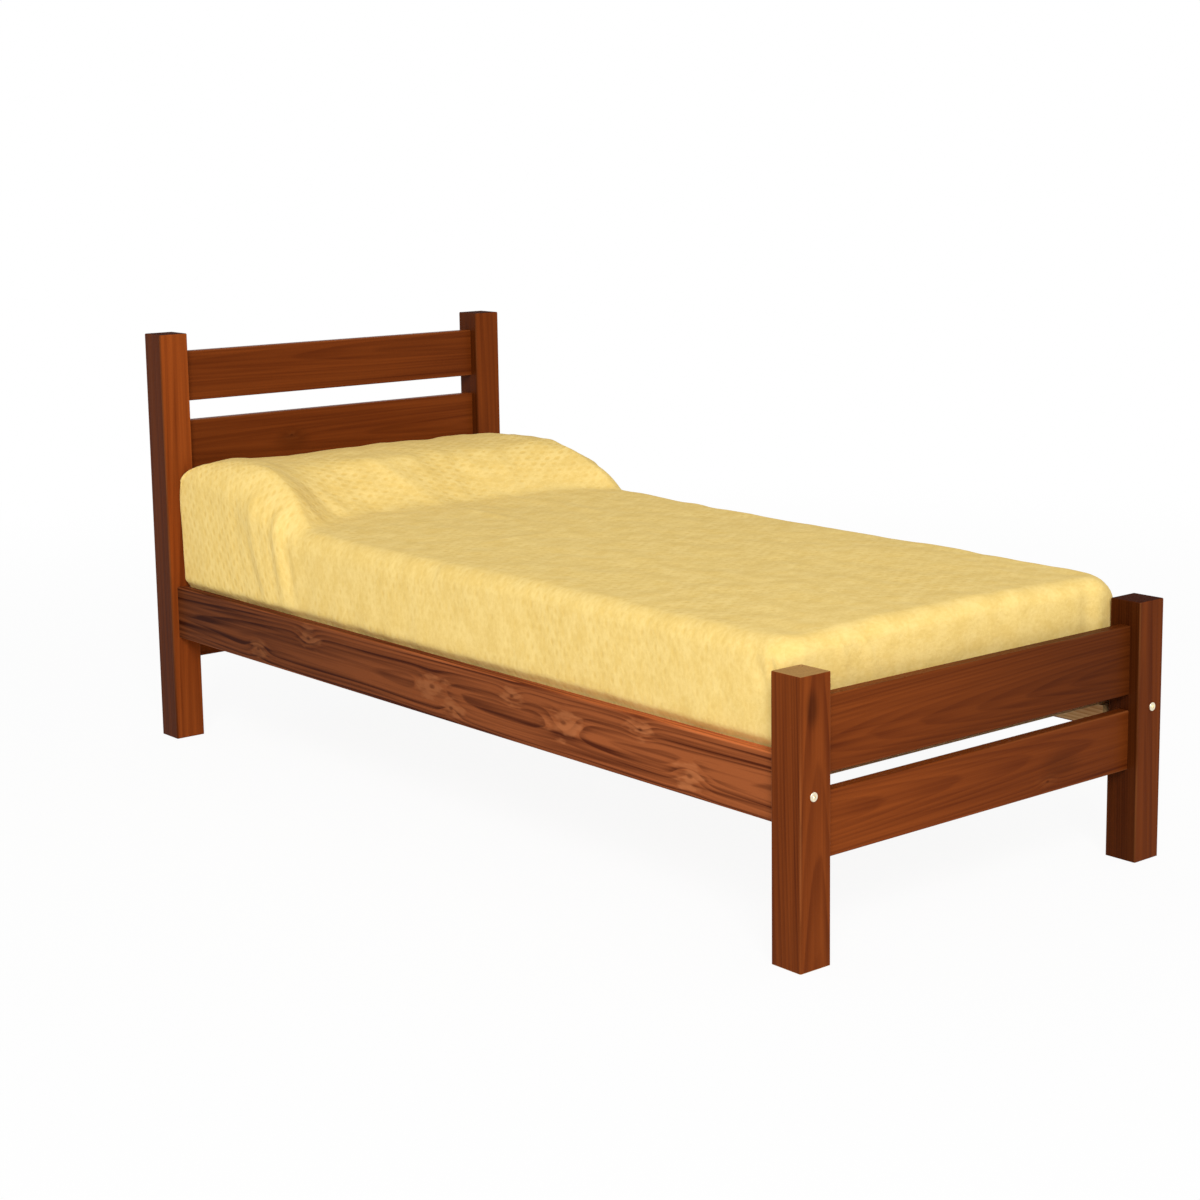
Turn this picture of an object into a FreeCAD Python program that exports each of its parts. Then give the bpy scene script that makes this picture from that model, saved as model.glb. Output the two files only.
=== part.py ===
import FreeCAD, Part
import math
import os

# A wooden single bed, made up with mattress, pillow and bedspread. Millimetres, +Z up.
# X runs across the bed, Y along it with the head at +Y, and the origin lies on the floor
# under the middle of the frame.

# Mattress
mattress_width = 800.0
mattress_length = 1900.0
mattress_edge_height = 218.0
mattress_crown = 6.0
mattress_corner_radius = 40.0
mattress_edge_radius = 24.0
mattress_side_bulge = 3.0
cover_thickness = 5.0

# Room between the mattress and the frame
mattress_side_room = 15.0
mattress_end_room = 8.0
soft_clearance = 0.3

# Posts
post_size = 67.0
head_post_height = 898.0
foot_post_height = 481.0
post_easing = 2.5

# End rails, from the top of the posts down
end_rail_thickness = 24.0
rail_easing = 2.5
headboard_top_drop = 41.0
headboard_top_rail_height = 109.0
headboard_gap = 43.0
headboard_middle_rail_height = 108.0
headboard_lower_rail_height = 109.0
headboard_lower_rail_below_bolt = 2.0
footboard_top_drop = 45.0
footboard_top_rail_height = 127.0
footboard_gap = 29.0
footboard_lower_rail_height = 110.0

# Tenons of the end rails, and their mortises in the posts
tenon_thickness = 14.0
tenon_shoulder = 10.0
mortise_wall = 29.0
tenon_clearance = 0.15
mortise_glue_room = 1.0

# Side rails
side_rail_thickness = 24.0
side_rail_height = 114.0
side_rail_recess = 16.0

# Bed bolts, barrel nuts and locating dowels that hold the side rails to the posts
bolt_above_lower_foot_rail = 5.0
bolt_diameter = 8.0
bolt_hole_clearance = 0.5
bolt_overreach = 12.0
bolt_head_diameter = 16.0
bolt_head_thickness = 2.4
bolt_head_easing = 1.2
bolt_socket_flats = 5.0
bolt_socket_depth = 3.2
nut_depth = 45.0
nut_diameter = 14.0
nut_length = 18.0
nut_clearance = 0.1
thread_clearance = 0.05
dowel_diameter = 8.0
dowel_length = 44.0
dowel_spacing = 70.0
dowel_clearance = 0.1
dowel_tenon_land = 4.5
dowel_end_room = 1.0

# Slats on their ledgers
ledger_width = 30.0
ledger_height = 40.0
ledger_rise = 12.0
ledger_end_gap = 10.0
slat_count = 14
slat_width = 75.0
slat_thickness = 18.0
slat_easing = 2.0
slat_end_gap = 3.0
slat_end_margin = 10.0

# Countersunk screws
screw_diameter = 4.5
screw_head_diameter = 8.6
screw_head_height = 2.6
screw_point_length = 5.0
screw_point_share = 0.25
screw_clearance = 0.05
screw_sink = 0.4
slat_screw_length = 40.0
ledger_screw_length = 45.0
ledger_screw_every = 2

# Bedspread and the pillow under it
spread_thickness = 3.0
spread_drape_gap = 0.7
spread_end_gap = 1.6
spread_side_gap = 8.0
spread_bulge = 11.0
spread_bulge_rise = 45.0
spread_bulge_share = 0.7
spread_edge_radius = 30.0
spread_pillow_radius = 46.0
spread_hem_gap = 6.0
spread_corner_radius = 22.0
pillow_rise = 116.0
pillow_edge_drop = 16.0
pillow_run = 150.0
pillow_run_hollow_share = 0.2
pillow_toe_from_head_middle = 355.0
pillow_toe_from_head_side = 445.0
pillow_head_radius = 95.0
pillow_end_margin = 22.0
pillow_toe_margin = 50.0
pillow_head_margin = 12.0
pillow_head_draw_in = 14.0
pillow_seam_rise = 23.0
pillow_seam_thickness = 6.0
pillow_end_fullness = 1.5
pillow_top_gap = 6.5
fold_width = 30.0
fold_depth = 5.0
fold_root = 4.0
fold_lean = 14.0
fold_from_head_outer = 330.0
fold_from_head_inner = 420.0
fold_height_shares = (0, 0.25, 0.6, 1)
fold_depth_shares = (0.2, 1, 0.9, 0.1)
fold_top_share = 0.33

# One overrun serves every cut
cut_overrun = 5.0

# Where the soft forms are cut into sections: degrees round an end, and shares of a stretch
end_angles = (0, 25, 50, 90)
straight_shares = (0.01, 0.025, 0.05, 0.1, 0.2, 0.35, 0.5, 0.65, 0.8, 0.9, 0.95, 0.98)
pillow_shares = (0, 0.06, 0.12, 0.18, 0.25, 0.32, 0.4, 0.48, 0.56, 0.64, 0.72, 0.8, 0.9, 1)
crest_shares = (0.15, 0.4, 0.7, 0.9)
pillow_angles = range(-90, 91, 15)

# Worked out from the sizes above
half_inner_width = mattress_width / 2 + mattress_side_room
half_bed_width = half_inner_width + side_rail_thickness + side_rail_recess
half_inner_length = mattress_length / 2 + mattress_end_room
half_bed_length = half_inner_length + post_size
half_shoulder_span = half_bed_width - post_size
tenon_length = post_size - mortise_wall
side_rail_x = half_inner_width + side_rail_thickness / 2
footboard_lower_top = foot_post_height - footboard_top_drop - footboard_top_rail_height - footboard_gap
bolt_level = footboard_lower_top + bolt_above_lower_foot_rail
side_rail_bottom = bolt_level - side_rail_height / 2
ledger_top = side_rail_bottom + ledger_rise + ledger_height
slat_top = ledger_top + slat_thickness
slat_pitch = (mattress_length - 2 * slat_end_margin - slat_width) / (slat_count - 1)
dowel_post_depth = (post_size - tenon_thickness) / 2 - dowel_tenon_land
mattress_bottom = slat_top + soft_clearance
mattress_edge_top = mattress_bottom + mattress_edge_height
spread_edge_top = mattress_edge_top + spread_drape_gap + spread_thickness
spread_bottom = slat_top + spread_hem_gap
spread_half_low = mattress_width / 2 + spread_side_gap + spread_thickness
spread_half_length = mattress_length / 2 + spread_end_gap + spread_thickness

# Levels of the end rails: name, end of the bed, bottom and height
headboard_top_bottom = head_post_height - headboard_top_drop - headboard_top_rail_height
headboard_middle_bottom = headboard_top_bottom - headboard_gap - headboard_middle_rail_height
headboard_lower_bottom = bolt_level - headboard_lower_rail_below_bolt - headboard_lower_rail_height
footboard_top_bottom = foot_post_height - footboard_top_drop - footboard_top_rail_height
footboard_lower_bottom = footboard_lower_top - footboard_lower_rail_height
HEAD, FOOT = 1, -1
LEFT, RIGHT = -1, 1
end_rails = [
    ("headboard_top_rail", HEAD, headboard_top_bottom, headboard_top_rail_height),
    ("headboard_middle_rail", HEAD, headboard_middle_bottom, headboard_middle_rail_height),
    ("headboard_lower_rail", HEAD, headboard_lower_bottom, headboard_lower_rail_height),
    ("footboard_top_rail", FOOT, footboard_top_bottom, footboard_top_rail_height),
    ("footboard_lower_rail", FOOT, footboard_lower_bottom, footboard_lower_rail_height),
]
side_names = {LEFT: "left", RIGHT: "right"}
end_names = {HEAD: "head", FOOT: "foot"}
X_AXIS = FreeCAD.Vector(1, 0, 0)
Y_AXIS = FreeCAD.Vector(0, 1, 0)
Z_AXIS = FreeCAD.Vector(0, 0, 1)


def box(x0, x1, y0, y1, z0, z1):
    """A block between two values on each axis, given in either order."""
    low = FreeCAD.Vector(min(x0, x1), min(y0, y1), min(z0, z1))
    return Part.makeBox(abs(x1 - x0), abs(y1 - y0), abs(z1 - z0), low)


def rod(radius, length, start, axis):
    """A round rod or hole."""
    return Part.makeCylinder(radius, length, start, axis)


def edges_along(shape, axis):
    """The straight edges of a shape that run along an axis."""
    found = []
    for edge in shape.Edges:
        way = edge.Vertexes[-1].Point - edge.Vertexes[0].Point
        if way.Length > 0 and abs(way.normalize().dot(axis)) > 0.999:
            found.append(edge)
    return found


def eased_along(shape, axis, radius):
    """The shape with its edges along one axis rounded over."""
    return shape.makeFillet(radius, edges_along(shape, axis))


def export(name, shape):
    """Writes one piece, or one group of like pieces, to its file."""
    shape.exportStep(os.path.join("parts", name + ".step"))
    print(f"{name}: {len(shape.Solids)} solids, {shape.Volume / 1000.0:.1f} cm3, valid {shape.isValid()}")


def tenon_blocks(side, end, bottom, height, clearance, end_room):
    """The tenon of an end rail in one post, or with clearance and end room the mortise for it."""
    x0 = side * half_shoulder_span
    x1 = side * (half_shoulder_span + tenon_length + end_room)
    y_mid = end * (half_bed_length - post_size / 2)
    y_half = tenon_thickness / 2 + clearance
    z0 = bottom + tenon_shoulder - clearance
    z1 = bottom + height - tenon_shoulder + clearance
    return box(x0, x1, y_mid - y_half, y_mid + y_half, z0, z1)


def dowel_levels():
    """The heights of the two locating dowels, one above and one below the bolt."""
    return [bolt_level - dowel_spacing / 2, bolt_level + dowel_spacing / 2]


def make_post(side, end):
    """A square post with eased edges, mortises for its end rails, and bolt and dowel holes."""
    height = head_post_height if end == HEAD else foot_post_height
    x_out, x_in = side * half_bed_width, side * half_shoulder_span
    y_out, y_in = end * half_bed_length, end * half_inner_length
    blank = box(x_out, x_in, y_out, y_in, 0, height)
    rounded = [e for e in blank.Edges if max(v.Point.z for v in e.Vertexes) > height / 2]
    post = blank.makeFillet(post_easing, rounded)
    for _, rail_end, bottom, rail_height in end_rails:
        if rail_end == end:
            post = post.cut(tenon_blocks(side, end, bottom, rail_height, tenon_clearance, mortise_glue_room))
    hole_radius = bolt_diameter / 2 + bolt_hole_clearance
    start = FreeCAD.Vector(side * side_rail_x, y_in - end * cut_overrun, bolt_level)
    post = post.cut(rod(hole_radius, post_size + 2 * cut_overrun, start, Y_AXIS * end))
    for level in dowel_levels():
        start = FreeCAD.Vector(side * side_rail_x, y_in - end * cut_overrun, level)
        depth = dowel_post_depth + dowel_end_room + cut_overrun
        post = post.cut(rod(dowel_diameter / 2 + dowel_clearance, depth, start, Y_AXIS * end))
    return post


def make_end_rail(end, bottom, height):
    """A board between two posts, its long edges eased, with a tenon at each end."""
    y_mid = end * (half_bed_length - post_size / 2)
    y_half = end_rail_thickness / 2
    span, top = half_shoulder_span, bottom + height
    rail = eased_along(box(-span, span, y_mid - y_half, y_mid + y_half, bottom, top), X_AXIS, rail_easing)
    for side in (LEFT, RIGHT):
        rail = rail.fuse(tenon_blocks(side, end, bottom, height, 0, 0))
    return rail.removeSplitter()


def make_side_rail(side):
    """A long board between head and foot post, bored at its ends for bolt, barrel nut and dowels."""
    x_in, x_out = side * half_inner_width, side * (half_inner_width + side_rail_thickness)
    top = side_rail_bottom + side_rail_height
    blank = box(x_in, x_out, -half_inner_length, half_inner_length, side_rail_bottom, top)
    rail = eased_along(blank, Y_AXIS, rail_easing)
    bolt_depth = nut_depth + bolt_overreach + dowel_end_room
    dowel_depth = dowel_length - dowel_post_depth + dowel_end_room
    nut_reach = side_rail_thickness / 2 + nut_length / 2
    for end in (HEAD, FOOT):
        inward = Y_AXIS * -end
        y_end = end * (half_inner_length + cut_overrun)
        start = FreeCAD.Vector(side * side_rail_x, y_end, bolt_level)
        rail = rail.cut(rod(bolt_diameter / 2 + bolt_hole_clearance, bolt_depth + cut_overrun, start, inward))
        y_nut = end * (half_inner_length - nut_depth)
        start = FreeCAD.Vector(x_in - side * cut_overrun, y_nut, bolt_level)
        rail = rail.cut(rod(nut_diameter / 2 + nut_clearance, nut_reach + cut_overrun, start, X_AXIS * side))
        for level in dowel_levels():
            start = FreeCAD.Vector(side * side_rail_x, y_end, level)
            hole = rod(dowel_diameter / 2 + dowel_clearance, dowel_depth + cut_overrun, start, inward)
            rail = rail.cut(hole)
    for y in ledger_screw_places():
        rail = rail.cut(ledger_screw(side, y, screw_clearance))
    return rail


def hexagon(flats, depth, centre, axis_sign):
    """A hexagonal prism along Y for the socket of a bolt, from its centre towards axis_sign."""
    radius = flats / math.sqrt(3)
    angles = [2 * math.pi * i / 6 for i in range(7)]
    corners = [centre + FreeCAD.Vector(radius * math.cos(a), 0, radius * math.sin(a)) for a in angles]
    return Part.Face(Part.makePolygon(corners)).extrude(Y_AXIS * (axis_sign * depth))


def make_bed_bolt(side, end):
    """A furniture bolt through the post into the barrel nut, with a flat socket head outside."""
    face = FreeCAD.Vector(side * side_rail_x, end * half_bed_length, bolt_level)
    length = post_size + nut_depth + bolt_overreach
    shank = rod(bolt_diameter / 2, length, face, Y_AXIS * -end)
    top = face + Y_AXIS * (end * bolt_head_thickness)
    head = rod(bolt_head_diameter / 2, bolt_head_thickness, face, Y_AXIS * end)
    rim = [e for e in head.Edges if abs(e.BoundBox.Center.y - top.y) < bolt_head_easing / 2]
    head = head.makeFillet(bolt_head_easing, rim)
    return shank.fuse(head).cut(hexagon(bolt_socket_flats, bolt_socket_depth, top, -end)).removeSplitter()


def make_barrel_nut(side, end):
    """A cross dowel nut in the side rail, bored through for the bolt."""
    centre = FreeCAD.Vector(side * side_rail_x, end * (half_inner_length - nut_depth), bolt_level)
    nut = rod(nut_diameter / 2, nut_length, centre - X_AXIS * (nut_length / 2), X_AXIS)
    bore_start = centre - Y_AXIS * (nut_diameter / 2 + cut_overrun)
    bore = rod(bolt_diameter / 2 + thread_clearance, nut_diameter + 2 * cut_overrun, bore_start, Y_AXIS)
    return nut.cut(bore)


def make_dowel(side, end, level):
    """A round wooden dowel, half in the post and half in the side rail."""
    y0 = end * (half_inner_length + dowel_post_depth)
    return rod(dowel_diameter / 2, dowel_length, FreeCAD.Vector(side * side_rail_x, y0, level), Y_AXIS * -end)


def screw_body(head_top, axis, length, clearance):
    """A countersunk wood screw that points along axis, or with clearance the hole for it."""
    head_radius, radius = screw_head_diameter / 2 + clearance, screw_diameter / 2 + clearance
    head = Part.makeCone(head_radius, radius, screw_head_height, head_top, axis)
    shank_length = length - screw_head_height - screw_point_length
    shank = rod(radius, shank_length, head_top + axis * screw_head_height, axis)
    point_start = head_top + axis * (length - screw_point_length)
    tip = radius * screw_point_share
    point = Part.makeCone(radius, tip, screw_point_length + clearance, point_start, axis)
    return head.fuse([shank, point]).removeSplitter()


def slat_places():
    """The middle of each slat along the bed, from the foot to the head."""
    first = -mattress_length / 2 + slat_end_margin + slat_width / 2
    return [first + slat_pitch * i for i in range(slat_count)]


def ledger_screw_places():
    """The ledger screws lie under gaps between slats, clear of the slats' own screws."""
    places = slat_places()
    return [places[i] + slat_pitch / 2 for i in range(0, slat_count - 1, ledger_screw_every)]


def slat_screw(side, y, clearance):
    """The screw that holds one end of a slat down on its ledger."""
    x = side * (half_inner_width - ledger_width / 2)
    screw = screw_body(FreeCAD.Vector(x, y, slat_top - screw_sink), Z_AXIS * -1, slat_screw_length, clearance)
    return screw.fuse(sink_for(FreeCAD.Vector(x, y, slat_top - screw_sink), Z_AXIS)) if clearance else screw


def ledger_screw(side, y, clearance):
    """A screw through the ledger into the side rail."""
    x_face = side * (half_inner_width - ledger_width + screw_sink)
    z = side_rail_bottom + ledger_rise + ledger_height / 2
    screw = screw_body(FreeCAD.Vector(x_face, y, z), X_AXIS * side, ledger_screw_length, clearance)
    return screw.fuse(sink_for(FreeCAD.Vector(x_face, y, z), X_AXIS * -side)) if clearance else screw


def sink_for(start, outward):
    """The short round recess above a screw's head."""
    return rod(screw_head_diameter / 2 + screw_clearance, screw_sink + cut_overrun, start, outward)


def make_ledger(side):
    """The batten on the inner face of a side rail that carries the slats."""
    x_face, x_free = side * half_inner_width, side * (half_inner_width - ledger_width)
    half = half_inner_length - ledger_end_gap
    ledger = box(x_face, x_free, -half, half, ledger_top - ledger_height, ledger_top)
    for y in ledger_screw_places():
        ledger = ledger.cut(ledger_screw(side, y, screw_clearance))
    for y in slat_places():
        ledger = ledger.cut(slat_screw(side, y, screw_clearance))
    return ledger


def make_slat(y):
    """One slat across both ledgers, its long edges eased, with a countersunk hole at each end."""
    half = half_inner_width - slat_end_gap
    blank = box(-half, half, y - slat_width / 2, y + slat_width / 2, ledger_top, slat_top)
    slat = eased_along(blank, X_AXIS, slat_easing)
    for side in (LEFT, RIGHT):
        slat = slat.cut(slat_screw(side, y, screw_clearance))
    return slat


def outline(y, steps):
    """A wire in the plane at y from a first (x, z) and steps to (x, z) or, on an arc, ((x, z), (x, z))."""
    def point(xz):
        return FreeCAD.Vector(xz[0], y, xz[1])
    edges = []
    here = point(steps[0])
    for step in steps[1:]:
        if isinstance(step[0], tuple):
            edges.append(Part.Arc(here, point(step[0]), point(step[1])).toShape())
            here = point(step[1])
        else:
            edges.append(Part.LineSegment(here, point(step)).toShape())
            here = point(step)
    return Part.Wire(edges)


def corner(cx, cz, radius, side, up):
    """The middle and the outer end of a quarter round about (cx, cz)."""
    reach = radius * math.sqrt(0.5)
    return (cx + side * reach, cz + up * reach)


def rounding(depth, radius):
    """How far a rounded edge has dropped at a depth in from its face."""
    if depth >= radius:
        return 0.0
    return radius - math.sqrt(radius * radius - (radius - depth) ** 2)


def end_depths(radius):
    """Depths in from an end face at which a rounded end is cut, from steps of its angle."""
    return [radius * (1 - math.cos(math.radians(angle))) for angle in end_angles]


def closed_outline_loft(sections):
    """A smooth closed solid through the sections."""
    return Part.makeLoft(sections, True, False)


def make_mattress_form(inset):
    """The mattress's whole form, drawn in by inset: bulging sides, a crowned top and soft corners."""
    half = mattress_width / 2 - mattress_side_bulge - inset
    half_length = mattress_length / 2 - inset
    low, high = mattress_bottom + inset, mattress_edge_top - inset
    bulge, middle = half + mattress_side_bulge, (low + high) / 2
    section = outline(-half_length, [
        (-half, low),
        (half, low),
        ((bulge, middle), (half, high)),
        ((0, high + mattress_crown), (-half, high)),
        ((-bulge, middle), (-half, low)),
    ])
    block = Part.Face(section).extrude(Y_AXIS * (2 * half_length))
    across = [e for e in block.Edges if e.BoundBox.YLength < half]
    upright = [e for e in across if e.BoundBox.ZLength > e.BoundBox.XLength]
    block = block.makeFillet(mattress_corner_radius - inset, upright)
    rims = [e for e in block.Edges if e.BoundBox.ZLength < middle - low]
    return block.makeFillet(mattress_edge_radius - inset, rims)


def pillow_hump(y, toe_from_head, rise):
    """The height that the pillow adds to the bedspread at y: a hollow foot, then a crown."""
    toe = mattress_length / 2 - toe_from_head
    run = y - toe
    if run <= 0:
        return 0.0
    if run >= pillow_run:
        return rise
    slope = 2 * math.atan(rise / pillow_run)
    hollow = pillow_run_hollow_share * pillow_run / math.sin(slope)
    crown = (1 - pillow_run_hollow_share) * pillow_run / math.sin(slope)
    if run < hollow * math.sin(slope):
        return hollow - math.sqrt(hollow * hollow - run * run)
    left = pillow_run - run
    return rise - (crown - math.sqrt(crown * crown - left * left))


def spread_section(y, inset):
    """The bedspread's outside across the bed at y, or with inset its inside."""
    depth = spread_half_length - inset - abs(y)
    plan = rounding(depth, spread_corner_radius)
    end_radius = pillow_head_radius if y > 0 else mattress_edge_radius + spread_thickness - inset
    drop = rounding(depth, end_radius)
    edge_hump = pillow_hump(y, pillow_toe_from_head_side, pillow_rise - pillow_edge_drop)
    middle_hump = pillow_hump(y, pillow_toe_from_head_middle, pillow_rise)
    share = edge_hump / (pillow_rise - pillow_edge_drop)
    radius = spread_edge_radius + share * (spread_pillow_radius - spread_edge_radius) - inset
    low_half = spread_half_low - inset - plan
    half = low_half + spread_bulge
    top = spread_edge_top + edge_hump - drop - inset
    crown = spread_edge_top + mattress_crown + middle_hump - drop - inset
    bottom = spread_bottom - inset * cut_overrun
    waist = side_rail_bottom + side_rail_height
    swell = waist + spread_bulge_rise
    mid = (low_half + spread_bulge * spread_bulge_share, (waist + swell) / 2 - spread_bulge / 2)
    flat = half - radius
    return outline(y, [
        (-low_half, bottom),
        (low_half, bottom),
        (low_half, waist),
        (mid, (half, swell)),
        (half, top - radius),
        (corner(flat, top - radius, radius, 1, 1), (flat, top)),
        ((0, crown), (-flat, top)),
        (corner(-flat, top - radius, radius, -1, 1), (-half, top - radius)),
        (-half, swell),
        ((-mid[0], mid[1]), (-low_half, waist)),
        (-low_half, bottom),
    ])


def toe_place(from_head):
    """Where along the bed the pillow's foot side begins, from its distance to the mattress's head end."""
    return mattress_length / 2 - from_head


def make_spread_form(inset):
    """The space under the bedspread's outside, or with inset the space inside the cloth."""
    half = spread_half_length - inset
    toe_side = toe_place(pillow_toe_from_head_side)
    reach = toe_place(pillow_toe_from_head_middle) + pillow_run - toe_side
    straight = toe_side + half - spread_edge_radius
    places = [-half + depth for depth in end_depths(spread_edge_radius)]
    places += [-half + spread_edge_radius + straight * share for share in straight_shares]
    places += [toe_side + reach * share for share in pillow_shares]
    crest = half - pillow_head_radius - toe_side - reach
    places += [toe_side + reach + crest * share for share in crest_shares]
    places += [half - depth for depth in reversed(end_depths(pillow_head_radius))]
    return closed_outline_loft([spread_section(y, inset) for y in places])


def make_fold(side, from_head):
    """A soft upright fold where the bedspread drops from the pillow's foot side."""
    y_foot = toe_place(from_head)
    surface = spread_half_low + spread_bulge
    z_low = side_rail_bottom + side_rail_height + spread_bulge_rise / 2
    z_high = spread_edge_top + (pillow_rise - pillow_edge_drop) * fold_top_share
    sections = []
    for share, depth_share in zip(fold_height_shares, fold_depth_shares):
        z = z_low + (z_high - z_low) * share
        y = y_foot + fold_lean * share
        half = fold_width / 2 * (1 - share / 2)
        root = side * (surface - fold_root)
        start, stop = FreeCAD.Vector(root, y - half, z), FreeCAD.Vector(root, y + half, z)
        top = FreeCAD.Vector(side * (surface + fold_depth * depth_share), y, z)
        crest, back = Part.Arc(start, top, stop), Part.LineSegment(stop, start)
        sections.append(Part.Wire([crest.toShape(), back.toShape()]))
    return closed_outline_loft(sections)


def make_bedspread():
    """One cloth over mattress and pillow, its sides and ends let down inside the frame."""
    cloth = make_spread_form(0)
    for side in (LEFT, RIGHT):
        for from_head in (fold_from_head_outer, fold_from_head_inner):
            cloth = cloth.fuse(make_fold(side, from_head))
    return cloth.cut(make_spread_form(spread_thickness))


def pillow_section(x, share):
    """The pillow from its foot side to the head at x: a crowned lens with a thin seam all round."""
    toe_side, toe_middle = toe_place(pillow_toe_from_head_side), toe_place(pillow_toe_from_head_middle)
    y_toe = toe_middle + pillow_toe_margin - (toe_middle - toe_side) * share * share
    y_head = mattress_length / 2 - pillow_head_margin - pillow_head_draw_in * (1 - share * share)
    y_middle = (y_toe + y_head) / 2
    plump = math.sqrt(max(0, 1 - share ** 4))
    rest = mattress_edge_top + mattress_crown + soft_clearance
    lower = rest + pillow_seam_rise
    upper = lower + pillow_seam_thickness
    least_apex, least_base = upper + pillow_end_fullness, lower - pillow_end_fullness
    apex = least_apex + (rest + pillow_rise - pillow_top_gap - least_apex) * plump
    base = least_base - (least_base - rest) * plump
    above = [(y_toe, upper), (y_middle, apex), (y_head, upper)]
    below = [(y_head, lower), (y_middle, base), (y_toe, lower)]
    p = [FreeCAD.Vector(x, y, z) for y, z in above + below]
    return Part.Wire([
        Part.Arc(p[0], p[1], p[2]).toShape(),
        Part.LineSegment(p[2], p[3]).toShape(),
        Part.Arc(p[3], p[4], p[5]).toShape(),
        Part.LineSegment(p[5], p[0]).toShape(),
    ])


def make_pillow():
    """A plump pillow across the head of the mattress, drawn in between its corners."""
    half = mattress_width / 2 - pillow_end_margin
    shares = [math.sin(math.radians(angle)) for angle in pillow_angles]
    return closed_outline_loft([pillow_section(half * share, abs(share)) for share in shares])


def group(shapes):
    """Like pieces kept as separate solids in one group."""
    return Part.makeCompound(shapes)


if __name__ == "__main__":
    os.makedirs("parts", exist_ok=True)
    corners = [(side, end) for side in (LEFT, RIGHT) for end in (HEAD, FOOT)]
    for side, end in corners:
        export(f"{end_names[end]}_post_{side_names[side]}", make_post(side, end))
    for name, end, bottom, height in end_rails:
        export(name, make_end_rail(end, bottom, height))
    for side in (LEFT, RIGHT):
        export(f"side_rail_{side_names[side]}", make_side_rail(side))
        export(f"slat_ledger_{side_names[side]}", make_ledger(side))
    for i, y in enumerate(slat_places()):
        export(f"slat_{i + 1:02d}", make_slat(y))
    export("bed_bolts", group([make_bed_bolt(side, end) for side, end in corners]))
    export("barrel_nuts", group([make_barrel_nut(side, end) for side, end in corners]))
    export("locating_dowels", group([make_dowel(s, e, z) for s, e in corners for z in dowel_levels()]))
    places = [(side, y) for side in (LEFT, RIGHT) for y in slat_places()]
    export("slat_screws", group([slat_screw(side, y, 0) for side, y in places]))
    places = [(side, y) for side in (LEFT, RIGHT) for y in ledger_screw_places()]
    export("ledger_screws", group([ledger_screw(side, y, 0) for side, y in places]))
    export("mattress_cover", make_mattress_form(0).cut(make_mattress_form(cover_thickness)))
    export("mattress_core", make_mattress_form(cover_thickness + soft_clearance))
    export("pillow", make_pillow())
    export("bedspread", make_bedspread())
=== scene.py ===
from functools import partialmethod
from math import cos, dist, pi, radians, sin

import bpy
import numpy as np
from mathutils import Matrix, Vector, noise
from numpy.linalg import norm


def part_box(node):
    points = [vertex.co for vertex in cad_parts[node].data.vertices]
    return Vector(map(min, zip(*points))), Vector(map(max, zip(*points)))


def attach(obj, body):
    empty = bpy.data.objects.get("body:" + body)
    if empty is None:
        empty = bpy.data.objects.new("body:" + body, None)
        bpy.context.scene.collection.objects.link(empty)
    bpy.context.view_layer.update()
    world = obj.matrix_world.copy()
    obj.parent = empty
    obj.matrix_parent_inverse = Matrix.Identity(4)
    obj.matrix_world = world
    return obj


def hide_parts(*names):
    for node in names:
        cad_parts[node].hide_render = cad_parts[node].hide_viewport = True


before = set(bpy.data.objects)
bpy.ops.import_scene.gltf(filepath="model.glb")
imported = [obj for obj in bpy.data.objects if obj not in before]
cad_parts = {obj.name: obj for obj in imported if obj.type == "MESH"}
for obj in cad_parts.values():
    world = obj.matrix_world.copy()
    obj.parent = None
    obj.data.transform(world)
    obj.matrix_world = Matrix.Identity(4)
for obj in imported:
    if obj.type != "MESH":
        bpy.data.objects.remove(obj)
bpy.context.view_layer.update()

# Driving sizes of the bedspread in metres. X runs across the bed, Y from the foot to the head, Z up
spread_half_x = 0.422
end_gap = 0.0046
top_gap = 0.0037
spread_crown = 0.006
spread_cloth = 0.0018
mesh_cell = 0.0066
spread_corner_cells = 10
round_rows = 9
wall_rows = 30
bulge_in = 0.011
bulge_low = 0.339
bulge_high = 0.361
pillow_bulge = 0.009
pillow_tuck_share = 0.5
edge_round = 0.036
pillow_round = 0.052
foot_round = 0.032
corner_fall = 0.016
head_run = 0.15
head_fall = 0.1
head_turn_shares = (-0.2, 0.6)
round_power = 2.0
head_round_power = 3.6
inner_corners = (0.04, 0.05)
outer_corners = (0.05, 0.016)
side_shift_foot = 0.2
side_shift_head = 0.45
hem_range = (0.022, 0.018)
hem_height = 0.0006

# The pillow under the cloth: where its foot side begins and how high it stands, from left to right, and
# how the cloth climbs it, in shares of its length and height
TOE = [(-0.42, 0.472), (-0.35, 0.505), (-0.28, 0.56), (-0.16, 0.56), (-0.04, 0.53), (0.1, 0.545),
       (0.2, 0.515), (0.3, 0.488), (0.42, 0.418)]
RISE = [(-0.42, 0.114), (-0.34, 0.109), (-0.28, 0.105), (-0.2, 0.105), (0.0, 0.104), (0.15, 0.104),
        (0.27, 0.102), (0.34, 0.103), (0.42, 0.097)]
MIDDLE_CLIMB_SHARES = [(0.0, 0.0), (0.08, 0.055), (0.17, 0.19), (0.27, 0.37), (0.37, 0.56), (0.46, 0.72),
                       (0.53, 0.83), (0.59, 0.88), (0.68, 0.91), (0.85, 0.94), (1.05, 0.975), (1.3, 1.0)]
END_CLIMB_SHARES = [(0.0, 0.0), (0.07, 0.15), (0.19, 0.42), (0.34, 0.69), (0.5, 0.89), (0.65, 0.98),
                    (0.82, 1.0), (1.0, 1.0), (1.4, 0.94)]
table_blur = 0.022
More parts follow.
